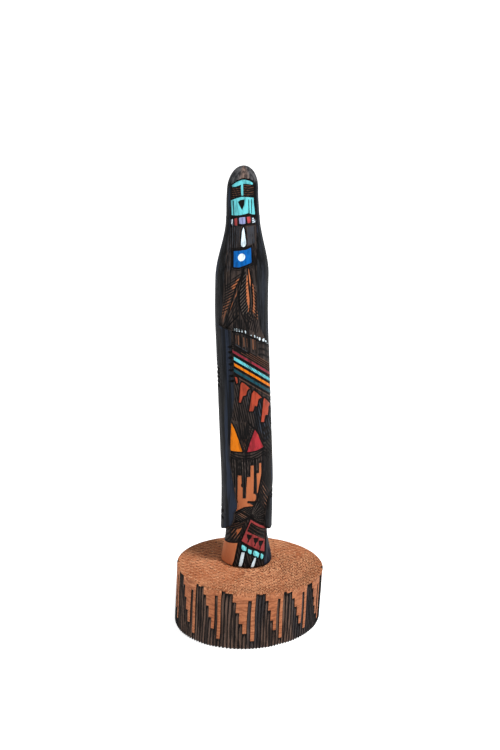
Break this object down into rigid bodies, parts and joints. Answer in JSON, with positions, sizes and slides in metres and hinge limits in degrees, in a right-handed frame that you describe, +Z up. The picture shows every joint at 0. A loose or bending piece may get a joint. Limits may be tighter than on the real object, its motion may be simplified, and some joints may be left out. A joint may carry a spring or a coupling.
{
  "type": "kachina doll",
  "caption": "Slim carved wooden doll in a dark mantle with a painted mask and sash, standing on a thick round disc with a stepped, fluted and burned side.",
  "frame": {"origin": "under the middle of the whole object, on the surface it stands on", "axes": "+Z up the figure, -Y the way the figure faces, +X to the right seen from the front"},
  "size_m": [0.0926, 0.09, 0.2842],
  "materials": {
    "painted_wood": "carved cottonwood, burned and stained dark, with painted motifs",
    "bare_wood": "bare cottonwood, stippled on top, burned in stepped flutes round the side"
  },
  "bodies": {
    "root": {"figure": "painted_wood", "base": "bare_wood"}
  },
  "joints": []
}
